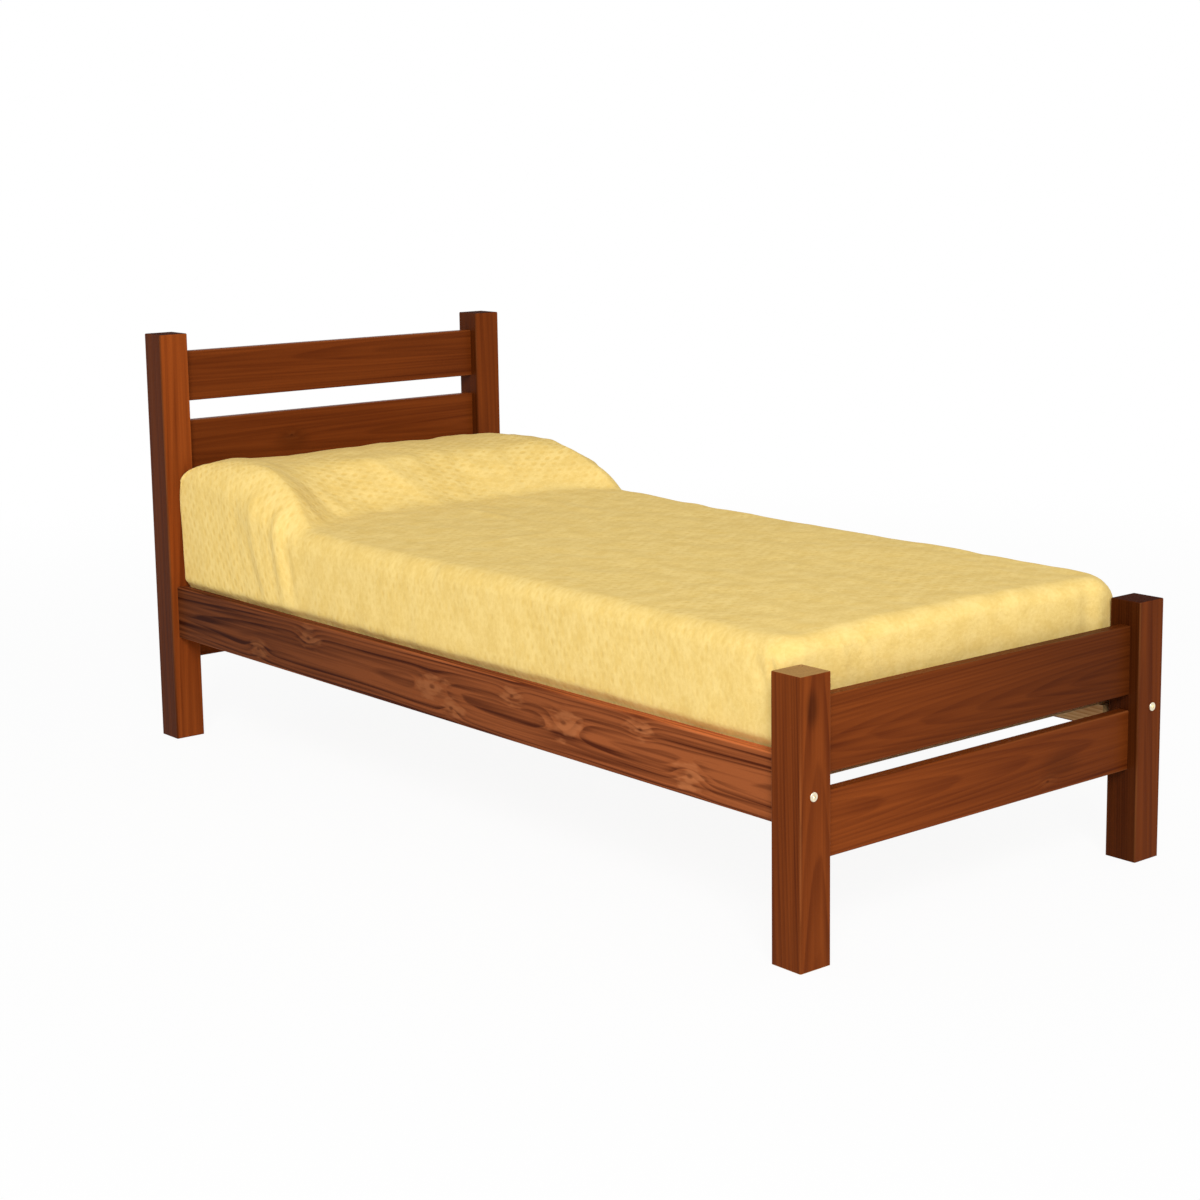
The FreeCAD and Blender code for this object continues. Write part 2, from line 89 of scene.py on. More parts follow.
table_blur_shares = (-1.0, -0.5, 0.0, 0.5, 1.0)
climb_blur = 0.035
climb_length = 0.29
end_climb_begins, end_climb_full = 0.21, 0.39
pillow_edge_begins, pillow_edge_full = 0.46, 0.6

# The cloth lies a little higher on the far side in front of the pillow: height, ranges across and along,
# and how it ends where the cloth climbs
far_lift = 0.01
far_lift_across = (0.05, 0.36)
far_lift_along = (-0.25, 0.45)
far_lift_climb_shares = (0.9, 0.0)

# Broad waves of the flat part: height, and turn per metre across and along, each with its start
wave_height, wave_across, wave_along = 0.0016, (9.0, 2.0), (5.3, 0.7)
slant_height, slant_across, slant_along = 0.0012, 17.0, -6.1

# Soft wrinkles: wide ones, and small ones that are higher on top, on the pillow and near the hem
wide_crumple, wide_crumple_scale = 0.0026, (7.0, 4.5, 7.0)
small_crumple, small_crumple_scale, small_crumple_start = 0.0009, (24.0, 17.0, 12.0), (0.0, 0.0, 5.0)
added_crumple = 0.0012
crumple_low = (0.47, 0.36)
crumple_top = (0.495, 0.515)
crumple_pillow_end = (0.82, 0.68)
fold_start_share = 0.05
fold_taper_power = 0.7

LEFT, RIGHT = -1, 1
FOOT, HEAD = -1, 1
X, Y, Z = 0, 1, 2


def smooth(low, high, value):
    """Eased from zero at low to one at high."""
    share = np.clip((value - low) / (high - low), 0, 1)
    return share * share * (3 - 2 * share)


def bell(distance):
    """One at no distance, falling off smoothly on both sides."""
    return np.exp(-0.5 * distance * distance)


def between(first, last, share):
    """The value at a share of the way from first to last."""
    return first + (last - first) * share


# Building meshes

def new_object(name, data):
    """A new object in the scene."""
    piece = bpy.data.objects.new(name, data)
    bpy.context.scene.collection.objects.link(piece)
    return piece


def mesh_object(name, points, faces, uvs=None):
    """An object from points, faces and, for each corner of a face, a place on the flat cloth."""
    mesh = bpy.data.meshes.new(name)
    mesh.from_pydata([tuple(p) for p in points], [], [tuple(f) for f in faces])
    if uvs is not None:
        layer = mesh.uv_layers.new(name="cloth")
        layer.data.foreach_set("uv", np.asarray(uvs, np.float32).ravel())
    mesh.polygons.foreach_set("use_smooth", [True] * len(mesh.polygons))
    mesh.validate()
    mesh.update()
    return new_object(name, mesh)


def spaced(low, high, corner_low, corner_high, corner_cells, cell):
    """Places from low to high, closer together in the two corner stretches."""
    first = np.linspace(low, low + corner_low, corner_cells + 1)
    last = np.linspace(high - corner_high, high, corner_cells + 1)
    cells = max(2, round((last[0] - first[-1]) / cell))
    middle = np.linspace(first[-1], last[0], cells + 1)
    return np.concatenate([first, middle[1:-1], last])


def rounded_plan(xs, ys, foot_radius, head_radius):
    """A grid of the plan with its corners pulled onto quarter rounds."""
    x, y = np.meshgrid(xs, ys)
    corner_x = xs[-1] - foot_radius
    ends = ((FOOT, ys[0] + foot_radius, foot_radius), (HEAD, ys[-1] - head_radius, head_radius))
    for side_y, corner_y, radius in ends:
        for side_x in (LEFT, RIGHT):
            from_x, from_y = x * side_x - corner_x, (y - corner_y) * side_y
            across, along = np.clip(from_x / radius, 0, 1), np.clip(from_y / radius, 0, 1)
            new_x = side_x * (corner_x + radius * across * np.sqrt(1 - along * along / 2))
            new_y = corner_y + side_y * radius * along * np.sqrt(1 - across * across / 2)
            inside = (from_x > 0) & (from_y > 0)
            x, y = np.where(inside, new_x, x), np.where(inside, new_y, y)
    return x, y


def loop_round(rows, columns):
    """Row, column and outward direction of each point on the rim of a grid, once round."""
    foot = [(0, i, (0, FOOT)) for i in range(columns - 1)]
    right = [(j, columns - 1, (RIGHT, 0)) for j in range(rows - 1)]
    head = [(rows - 1, i, (0, HEAD)) for i in range(columns - 1, 0, -1)]
    left = [(j, 0, (LEFT, 0)) for j in range(rows - 1, 0, -1)]
    return foot + right + head + left


def rim_numbers(rows, columns):
    """Numbers of the points on the rim of a grid, once round."""
    return np.array([j * columns + i for j, i, _ in loop_round(rows, columns)])


def ring_rows(numbers, rings, first):
    """Point numbers of a rim and of the rings below it, which start at first."""
    below = first + np.arange(len(rings) * len(numbers)).reshape(len(rings), len(numbers))
    return np.concatenate([numbers[None], below])


def grid_faces(rows, columns, first=0):
    """Quads of a grid whose points are numbered row by row."""
    j, i = np.mgrid[0:rows - 1, 0:columns - 1]
    a = first + j * columns + i
    return np.stack([a, a + 1, a + columns + 1, a + columns], -1).reshape(-1, 4)


def wall_faces(rings):
    """Quads between rings of point numbers, each ring once round and outwards as seen from outside."""
    upper, lower = rings[:-1], rings[1:]
    after = np.roll(np.arange(rings.shape[1]), -1)
    return np.stack([upper, lower, lower[:, after], upper[:, after]], -1).reshape(-1, 4)


def closed_block(name, upper, lower, rings=()):
    """A closed mesh of an upper and a lower grid, with the rings of its sides in between."""
    grid, size = upper.shape[:2], upper.size // 3
    numbers = rim_numbers(*grid)
    wall = np.concatenate([ring_rows(numbers, rings, 2 * size), size + numbers[None]])
    faces = [grid_faces(*grid), grid_faces(*grid, size)[:, ::-1], wall_faces(wall)]
    points = np.concatenate([upper.reshape(-1, 3), lower.reshape(-1, 3), *rings])
    return mesh_object(name, points, np.concatenate(faces))


def tube(name, path, radius, sides):
    """A closed tube along a closed path."""
    path = np.asarray(path, float)
    ahead = np.roll(path, -1, 0) - np.roll(path, 1, 0)
    ahead /= norm(ahead, axis=1)[:, None]
    up = np.array([0.0, 0.0, 1.0])
    out = np.cross(ahead, up)
    out /= norm(out, axis=1)[:, None]
    turn = np.linspace(0, 2 * pi, sides, endpoint=False)
    ring = np.cos(turn)[None, :, None] * out[:, None, :] + np.sin(turn)[None, :, None] * up
    points = (path[:, None, :] + radius * ring).reshape(-1, 3)
    numbers = np.arange(len(points)).reshape(-1, sides)
    numbers = np.concatenate([numbers, numbers[:1]])
    return mesh_object(name, points, wall_faces(numbers))


# Materials

# Noises: scale in turns per metre, detail, roughness and seed. Those of the wood run along its grain first
NOISES = {
    "fibre": ((5.0, 420.0, 420.0), 2.0, 0.6, 3.1),
    "streak": ((1.6, 95.0, 95.0), 2.0, 0.55, 5.3),
    "blotch": ((2.2, 11.0, 11.0), 3.0, 0.55, 7.7),
    "flame": ((22.0, 75.0, 75.0), 2.0, 0.6, 9.3),
    "wander": ((1.5, 5.0, 5.0), 1.0, 0.5, 0.0),
    "drift": ((26.0, 26.0, 1.0), 2.0, 0.6, 4.0),
    "patches": ((38.0, 38.0, 1.0), 2.0, 0.6, 9.0),
    "clouds": ((4.5, 4.5, 1.0), 3.0, 0.55, 12.0),
    "slubs": ((110.0, 150.0, 1.0), 3.0, 0.65, 17.0),
    "mottle": ((20.0, 28.0, 1.0), 2.0, 0.6, 21.0),
    "lint": ((900.0, 900.0, 1.0), 2.0, 0.7, 15.0),
    "cotton": ((700.0, 700.0, 700.0), 2.0, 0.6, 3.0),
    "tarnish": ((180.0, 180.0, 180.0), 3.0, 0.6, 1.0),
    "turning": ((2600.0, 300.0, 2600.0), 2.0, 0.5, 2.0),
}
MIX_SHARE, MIX_FIRST, MIX_SECOND, MIX_RESULT = 0, 6, 7, 2


class Graph:
    """The nodes of one material or world, and short ways to add to them."""

    def __init__(self, owner, output="ShaderNodeOutputMaterial"):
        owner.use_nodes = True
        self.owner = owner
        self.tree = owner.node_tree
        self.tree.nodes.clear()
        self.out = self.add(output).inputs["Surface"]

    def add(self, kind, *values, **settings):
        """A new node with these settings and, in their order, the values of its sockets."""
        node = self.tree.nodes.new(kind)
        for key, value in settings.items():
            setattr(node, key, value)
        for socket, value in zip(node.inputs, values):
            self.put(socket, value)
        return node

    def put(self, socket, value):
        """Links a socket to another node's, or gives it a plain value."""
        if isinstance(value, bpy.types.NodeSocket):
            self.tree.links.new(value, socket)
        else:
            socket.default_value = value

    def fill(self, node, **values):
        """Fills sockets of a node by name, with _ for a space."""
        for name, value in values.items():
            self.put(node.inputs[name.replace("_", " ")], value)
        return node

    def math(self, operation, *values, clamp=False):
        return self.add("ShaderNodeMath", *values, operation=operation, use_clamp=clamp).outputs[0]

    plus = partialmethod(math, "ADD")
    minus = partialmethod(math, "SUBTRACT")
    times = partialmethod(math, "MULTIPLY")
    scaled = partialmethod(math, "MULTIPLY_ADD")
    largest = partialmethod(math, "MAXIMUM")

    def vector(self, operation, *values):
        node = self.add("ShaderNodeVectorMath", *values, operation=operation)
        return node.outputs["Value" if operation == "LENGTH" else "Vector"]

    def split(self, value):
        return tuple(self.add("ShaderNodeSeparateXYZ", value).outputs)

    def join(self, x, y, z):
        return self.add("ShaderNodeCombineXYZ", x, y, z).outputs[0]

    def own_place(self):
        """The place on the object itself, in metres."""
        return self.add("ShaderNodeTexCoord").outputs["Object"]

    def eased(self, value, low, high, to_low=0.0, to_high=1.0):
        """Eased from one level at low to another at high."""
        return self.add("ShaderNodeMapRange", value, low, high, to_low, to_high,
                        interpolation_type="SMOOTHSTEP", clamp=True).outputs[0]

    def around(self, value, width, middle=0.0):
        """A noise from 0 to 1, spread to a width round a middle."""
        return self.scaled(value, width, middle - width / 2)

    def sine(self, value, length):
        """A wave of that length."""
        return self.math("SINE", self.times(value, 2 * pi / length))

    def noise(self, place, kind, seed=0.0, output="Fac"):
        """One of the noises above, moved on by a seed."""
        scale, detail, roughness, own_seed = NOISES[kind]
        node = self.add("ShaderNodeTexNoise", noise_dimensions="4D")
        return self.fill(node, Vector=self.vector("MULTIPLY", place, scale), W=seed + own_seed, Scale=1.0,
                         Detail=detail, Roughness=roughness).outputs[output]

    def mix(self, share, first, second, blend="MIX"):
        """Two colours mixed by a share."""
        node = self.add("ShaderNodeMix", data_type="RGBA", blend_type=blend, clamp_factor=True)
        for socket, value in ((MIX_SHARE, share), (MIX_FIRST, first), (MIX_SECOND, second)):
            self.put(node.inputs[socket], value)
        return node.outputs[MIX_RESULT]

    def dim(self, colour, level):
        """A colour made darker or brighter by a level."""
        return self.mix(1.0, colour, self.join(level, level, level), "MULTIPLY")

    def mix_shaders(self, share, first, second):
        return self.add("ShaderNodeMixShader", share, first, second).outputs[0]

    def bump(self, height, distance, strength, **below):
        """Normals of a relief, on top of another relief where there is one."""
        node = self.add("ShaderNodeBump")
        return self.fill(node, Height=height, Distance=distance, Strength=strength, **below).outputs[0]


class Surface(Graph):
    """A material with a Principled surface."""

    def __init__(self, name, **values):
        super().__init__(bpy.data.materials.new(name))
        self.shader = self.add("ShaderNodeBsdfPrincipled")
        self.put(self.out, self.shader.outputs["BSDF"])
        self.dress(**values)

    def dress(self, **values):
        """Fills sockets of the surface and gives back the material."""
        self.fill(self.shader, **values)
        return self.owner


def rgb(*values):
    """A shader's colour from picture values of 0 to 255, by the usual sRGB curve."""
    shares = [value / 255 for value in values]
    return (*(s / 12.92 if s <= 0.04045 else ((s + 0.055) / 1.055) ** 2.4 for s in shares), 1.0)


# The pale colour serves knot halos and edges that are partly worn and partly a painted highlight
STAIN = dict(light=rgb(133, 64, 22), dark=rgb(88, 35, 9), knot=rgb(50, 19, 8), pale_wear_and_highlight=rgb(182, 112, 62),
             end=rgb(58, 26, 14), roughness=0.42, refraction=1.1, flame=0.08)
PALE_STAIN = dict(light=rgb(158, 86, 46), dark=rgb(80, 33, 14), knot=rgb(58, 24, 12), pale_wear_and_highlight=rgb(180, 108, 64),
                  end=rgb(96, 50, 28), roughness=0.46, refraction=1.08, flame=0.85)
RAW = dict(light=rgb(222, 186, 134), dark=rgb(184, 132, 80), knot=rgb(116, 64, 34), pale_wear_and_highlight=rgb(230, 202, 158),
           end=rgb(206, 166, 112), roughness=0.62, refraction=1.25, flame=0.3)
BARE_END = rgb(166, 126, 75)
wood_edge = 0.0045
wood_relief = 0.0003
sawn_depth = (0.0008, 0.0002)

# Knots: length by width, how far they push the rings, dark core, and a pale halo with ragged edges
knot_stretch = 1.9
knot_push, knot_push_fall = 0.7, -0.35
knot_core = (0.1, 0.45, 0.7, 0.0)
knot_halo, knot_ragged, knot_streaks = (0.5, 2.0, 1.0, 0.0), 6.0, -0.6
knot_fibres = (0.6, 0.25)

# Year rings darken slowly, end sharply, follow the streaks a little, and are stronger in some years
ring_darkens, ring_ends = (0.1, 0.85), (0.87, 1.0)
ring_streaks = 0.7
faintest_year = 0.2

# Shares of rings, fibres and blotches in the mix of light and dark wood
shade_middle = 0.42
shade_rings, shade_rings_middle = 1.5, 0.5
shade_fibres, shade_blotches = 0.4, 0.9
bright_blotches = 0.4
patch_edge, patch_ragged = (0.5, 1.4), 0.4
# Patchy pale edges: partly wear, partly a painted highlight
wear_and_edge_highlight = (0.4, 0.7, 0.0, 0.3)
pore_level, pore_fibres, pore_rings = 0.8, 0.7, -0.3
gloss_fibres, gloss_rings, gloss_sawn = 0.22, -0.05, 0.5
relief_rings, relief_strength = -0.5, 0.5


def wood(node_name, along, through, stain, seed, pith, tilt=0.012, ring=0.0055, wander=0.01, figure=0.5,
         smoke=0.6, knots=(), patches=(), tone_and_painted_falloff=(1.0, 1.0), faces=(), end=None):
    """Timber cut from one log: rings round a leaning pith, knots, fibres, worn edges with a painted
    highlight.

    along and through are the axes of the grain and of the board's thickness, and pith is where the log's
    middle lies from the board's (through, across). A knot is (along, across, size), a darker patch (along,
    across, half length, half width, brightness), and a face (axis, side, brightness) paints shade on that
    face below 1 and light above 1, for how the lamp falls on it. tone_and_painted_falloff is the brightness
    at the two ends, partly the board's own tone and partly painted light that fades towards the far end, and
    end the colour of the sawn ends. figure is how strongly the rings show and smoke how strongly the long
    soft streaks do.
    """
    low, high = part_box(node_name)
    centre, half = (low + high) / 2, (high - low) / 2
    across = X + Y + Z - along - through
    g = Surface(node_name + "_wood", IOR=stain["refraction"])
    parts = g.split(g.vector("SUBTRACT", g.own_place(), tuple(centre)))
    grain, a, b = parts[along], parts[through], parts[across]
    place = g.join(grain, a, b)

    def spot(spot_along, spot_across, length, width):
        """How far a point of the board's face is from a spot, in lengths and widths of it."""
        from_l = g.math("DIVIDE", g.minus(grain, spot_along), length)
        from_b = g.math("DIVIDE", g.minus(b, spot_across), width)
        return g.vector("LENGTH", g.join(from_l, from_b, 0.0))

    drift_a, drift_b, _ = g.split(g.noise(place, "wander", seed, "Color"))
    lean = g.scaled(grain, -tilt, -pith[0])
    from_a = g.plus(a, g.scaled(drift_a, wander, lean))
    from_b = g.plus(b, g.scaled(drift_b, wander, -pith[1]))
    radius = g.vector("LENGTH", g.join(from_a, from_b, 0.0))
    fibre, streak, blotch = (g.noise(place, kind, seed) for kind in ("fibre", "streak", "blotch"))

    core = halo = 0.0
    flame = g.noise(place, "flame", seed) if knots else None
    for knot_along, knot_across, size in knots:
        away = spot(knot_along, knot_across, knot_stretch * size, size)
        push = g.math("EXPONENT", g.times(g.times(away, away), knot_push_fall))
        radius = g.scaled(push, knot_push * size, radius)
        dark = g.eased(away, *knot_core)
        ragged = g.plus(away, g.around(flame, knot_ragged))
        core = g.largest(core, dark)
        halo = g.largest(halo, g.minus(g.eased(ragged, *knot_halo), dark, clamp=True))

    phase = g.scaled(radius, 1 / ring, g.times(streak, ring_streaks))
    year = g.fill(g.add("ShaderNodeTexWhiteNoise", noise_dimensions="1D"), W=g.math("FLOOR", phase))
    saw = g.math("FRACT", phase)
    line = g.minus(g.eased(saw, *ring_darkens), g.eased(saw, *ring_ends))
    line = g.times(line, g.scaled(year.outputs["Value"], 1 - faintest_year, faintest_year))

    shade = g.scaled(line, shade_rings * figure, shade_middle - shade_rings_middle * figure)
    shade = g.plus(shade, g.around(fibre, shade_fibres))
    shade = g.plus(shade, g.around(streak, 2 * smoke))
    shade = g.plus(shade, g.around(blotch, shade_blotches), clamp=True)
    colour = g.mix(shade, stain["light"], stain["dark"])
    if knots:
        halo = g.times(halo, g.scaled(line, knot_streaks, 1.0))
        colour = g.mix(g.times(halo, stain["flame"]), colour, stain["pale_wear_and_highlight"])
        core = g.times(core, g.scaled(fibre, *knot_fibres))
        colour = g.mix(core, colour, stain["knot"])

    # Brightness along the grain: partly the board's own tone, partly painted light fading towards the far
    # end
    tone_and_painted_light = g.eased(grain, -half[along], half[along], *tone_and_painted_falloff)
    tone_and_painted_light = g.times(tone_and_painted_light, g.around(blotch, bright_blotches, 1.0))
    for patch_along, patch_across, length, width, level in patches:
        away = g.plus(spot(patch_along, patch_across, length, width), g.times(fibre, patch_ragged))
        tone_and_painted_light = g.times(tone_and_painted_light, g.eased(away, *patch_edge, level, 1.0))
    # Painted shade on a face given below 1, painted light on a face given above 1
    for axis, side, level in faces:
        from_face = g.minus(half[axis], g.times(parts[axis], side))
        tone_and_painted_light = g.times(tone_and_painted_light, g.eased(from_face, 0.0, wood_edge, level, 1.0))
    colour = g.dim(colour, tone_and_painted_light)

    # Pale edges in patches: partly wear, partly a painted highlight along the edges
    edges = [g.minus(half[axis], g.math("ABSOLUTE", parts[axis])) for axis in (through, across)]
    rim = g.eased(g.largest(*edges), 0.0, wood_edge, 1.0, 0.0)
    colour = g.mix(g.times(rim, g.eased(blotch, *wear_and_edge_highlight)), colour, stain["pale_wear_and_highlight"])
    pores = g.scaled(fibre, pore_fibres, g.scaled(line, pore_rings, pore_level))
    cut = g.dim(end or stain["end"], pores)
    sawn = g.eased(g.math("ABSOLUTE", grain), half[along] - sawn_depth[0], half[along] - sawn_depth[1])

    gloss = g.scaled(line, gloss_rings, g.around(fibre, gloss_fibres, stain["roughness"]))
    relief = g.scaled(line, relief_rings, fibre)
    return g.dress(Base_Color=g.mix(sawn, colour, cut),
                   Roughness=g.scaled(sawn, gloss_sawn, gloss, clamp=True),
                   Normal=g.bump(relief, wood_relief, relief_strength))


metal_tarnish, metal_dark_share = (0.35, 0.75), 0.72
turning_gloss, turning_strength = 0.2, 0.4


def metal(name, colour, roughness, scratch):
    """Metal with fine turning marks and slightly uneven gloss."""
    g = Surface(name, Metallic=1.0)
    tarnish = g.eased(g.noise(g.own_place(), "tarnish"), *metal_tarnish)
    marks = g.noise(g.own_place(), "turning")
    return g.dress(Base_Color=g.mix(tarnish, colour, g.dim(colour, metal_dark_share)),
                   Roughness=g.around(marks, turning_gloss, roughness),
                   Normal=g.bump(marks, scratch, turning_strength))


# The bedspread's cotton: its repeat along and across and its thread in metres of flat cloth, how much the
# rows drift, where the pits are strong, from the foot to the pillow too, and how all of it is coloured; the
# deeper colour in the pits is painted shade
cell_along = 0.0236
cell_across = 0.0195
thread = 0.0013
row_drift = 0.007
cloth_light = rgb(246, 216, 137)
cloth_mid = rgb(231, 196, 110)
# Deeper colour for the painted shade in the pits
pit_shade_colour = rgb(229, 192, 105)
pit_patches = (0.3, 0.7, 0.35, 1.0)
pit_clouds = (0.3, 0.65, 0.45, 1.0)
pit_foot = (-0.02, 0.1, 0.45, 1.0)
pit_pillow = (1.4, 1.55, 1.0, 1.5)
pit_shade_share = (0.05, 0.9, 0.0, 0.85)
spot_colour = (0.45, 0.85, 0.0, 0.85)
lint_colour = (0.35, 0.75, 0.0, 0.2)
spot_mottle, spot_slubs = 0.7, 0.6
slub_height, pit_height, weave_height = 1.3, -0.8, 0.3
coarse_relief, fine_relief, cloth_strength = 0.0016, 0.00018, 0.5


def pique():
    """Yellow cotton woven in staggered rows of small soft pits with painted shade, stronger in some places
    than in others.
    """
    g = Surface("yellow_pique", Roughness=0.95, Sheen_Weight=0.03, Sheen_Roughness=0.4, IOR=1.12)
    flat = g.add("ShaderNodeUVMap", uv_map="cloth").outputs["UV"]
    drift = g.vector("SUBTRACT", g.noise(flat, "drift", output="Color"), (0.5, 0.5, 0.5))
    drift = g.vector("MULTIPLY", drift, (row_drift, row_drift, 0.0))
    s, t, _ = g.split(g.vector("ADD", flat, drift))
    along = g.times(t, pi / cell_along)
    across = g.times(s, pi / (2 * cell_across))
    rising = g.math("SINE", g.plus(along, across))
    falling = g.math("SINE", g.minus(along, across))
    pit = g.math("POWER", g.math("ABSOLUTE", g.times(rising, falling)), 2.0)
    levels = [(g.noise(flat, "patches"), pit_patches), (g.noise(flat, "clouds"), pit_clouds),
              (t, pit_foot), (t, pit_pillow)]
    for value, level in levels:
        pit = g.times(pit, g.eased(value, *level))
    slub, mottle, lint = (g.noise(flat, kind) for kind in ("slubs", "mottle", "lint"))
    spots = g.scaled(mottle, spot_mottle, g.times(slub, spot_slubs))
    weave = g.times(g.sine(s, thread), g.sine(t, thread))

    # Painted shade: the pits take a deeper colour for the shade in the weave's hollows
    colour = g.mix(g.eased(pit, *pit_shade_share), cloth_light, pit_shade_colour)
    colour = g.mix(g.eased(spots, *spot_colour), colour, cloth_mid)
    colour = g.mix(g.eased(lint, *lint_colour), colour, cloth_light)
    coarse = g.bump(g.scaled(slub, slub_height, g.times(pit, pit_height)), coarse_relief, cloth_strength)
    fine = g.scaled(weave, weave_height, lint)
    return g.dress(Base_Color=colour, Normal=g.bump(fine, fine_relief, cloth_strength, Normal=coarse))


stripe_edge = (0.55, 0.7)
cotton_shadow, cotton_shadow_share = (0.4, 0.7, 0.0, 0.5), 0.86
cotton_relief, cotton_strength = 0.0002, 0.4


def woven(name, base, stripe, pitch, ribs):
    """Plain or striped woven cotton, by the places of the object itself."""
    g = Surface(name, Roughness=0.85, Sheen_Weight=0.08, Specular_IOR_Level=0.2)
    x, y, z = g.split(g.own_place())
    lint = g.noise(g.own_place(), "cotton")
    striped = g.mix(g.eased(g.sine(x, pitch), *stripe_edge), base, stripe)
    shaded = g.mix(g.eased(lint, *cotton_shadow), striped, g.dim(base, cotton_shadow_share))
    rib = g.sine(g.plus(y, z), ribs)
    relief = g.bump(g.plus(rib, lint), cotton_relief, cotton_strength)
    return g.dress(Base_Color=shaded, Normal=relief)


foam_cells = 420.0
foam_pores = (0.1, 0.6)
foam_relief, foam_strength = 0.0006, 0.7


def foam():
    """Open-celled cream foam, with painted shade in its pores."""
    g = Surface("foam", Roughness=0.95)
    cells = g.fill(g.add("ShaderNodeTexVoronoi", feature="F1"), Vector=g.own_place(), Scale=foam_cells)
    pores = g.eased(cells.outputs["Distance"], *foam_pores)
    # Painted shade: the cream darkens in the pores for the shade in the cells' hollows
    return g.dress(Base_Color=g.mix(pores, rgb(206, 190, 140), rgb(244, 232, 190)),
                   Normal=g.bump(pores, foam_relief, foam_strength))


# The cloth over mattress and pillow

mattress_low, mattress_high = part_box("mattress_cover")
spread_half_y = mattress_high.y + end_gap
hem_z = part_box("bedspread")[0].z
edge_z = mattress_high.z - spread_crown + top_gap


def from_table(table, x, blur=table_blur):
    """A value read from a table of places and values, with its corners softened."""
    places, values = zip(*table)
    steps = [np.interp(x + share * blur, places, values) for share in table_blur_shares]
    return sum(steps) / len(steps)


def hump(x, y):
    """How far the pillow lifts the cloth above the mattress at a place of the plan."""
    share = (y - from_table(TOE, x)) / climb_length
    middle = from_table(MIDDLE_CLIMB_SHARES, share, climb_blur)
    end = from_table(END_CLIMB_SHARES, share, climb_blur)
    at_end = smooth(end_climb_begins, end_climb_full, np.abs(x))
    lean = far_lift * smooth(*far_lift_across, x) * smooth(*far_lift_along, y)
    lean = lean * smooth(*far_lift_climb_shares, middle)
    return from_table(RISE, x) * between(middle, end, at_end) + lean


def pillow_share(y):
    """How far along the bed the pillow has raised the cloth's edge, from 0 to 1."""
    return smooth(pillow_edge_begins, pillow_edge_full, y)


def top_height(x, y):
    """The cloth's height over its flat part."""
    crown = spread_crown * (1 - (x / spread_half_x) ** 2)
    across = np.sin(wave_across[0] * x + wave_across[1])
    along = np.sin(wave_along[0] * y + wave_along[1])
    soft = wave_height * across * along + slant_height * np.sin(slant_across * x + slant_along * y)
    return edge_z + crown + hump(x, y) + soft


def line_distance(points, path):
    """Each point's distance from a line through a few places, and how far along it, from 0 to 1."""
    path = np.asarray(path, float)
    lengths = norm(np.diff(path, axis=0), axis=1)
    before = np.concatenate([[0], np.cumsum(lengths)])
    best = np.full(len(points), np.inf)
    along = np.zeros(len(points))
    for first, step, length, start in zip(path[:-1], np.diff(path, axis=0), lengths, before):
        share = np.clip((points - first) @ step / length ** 2, 0, 1)
        away = norm(points - first - share[:, None] * step, axis=1)
        closer = away < best
        best = np.where(closer, away, best)
        along = np.where(closer, (start + share * length) / before[-1], along)
    return best, along


MM = 0.001
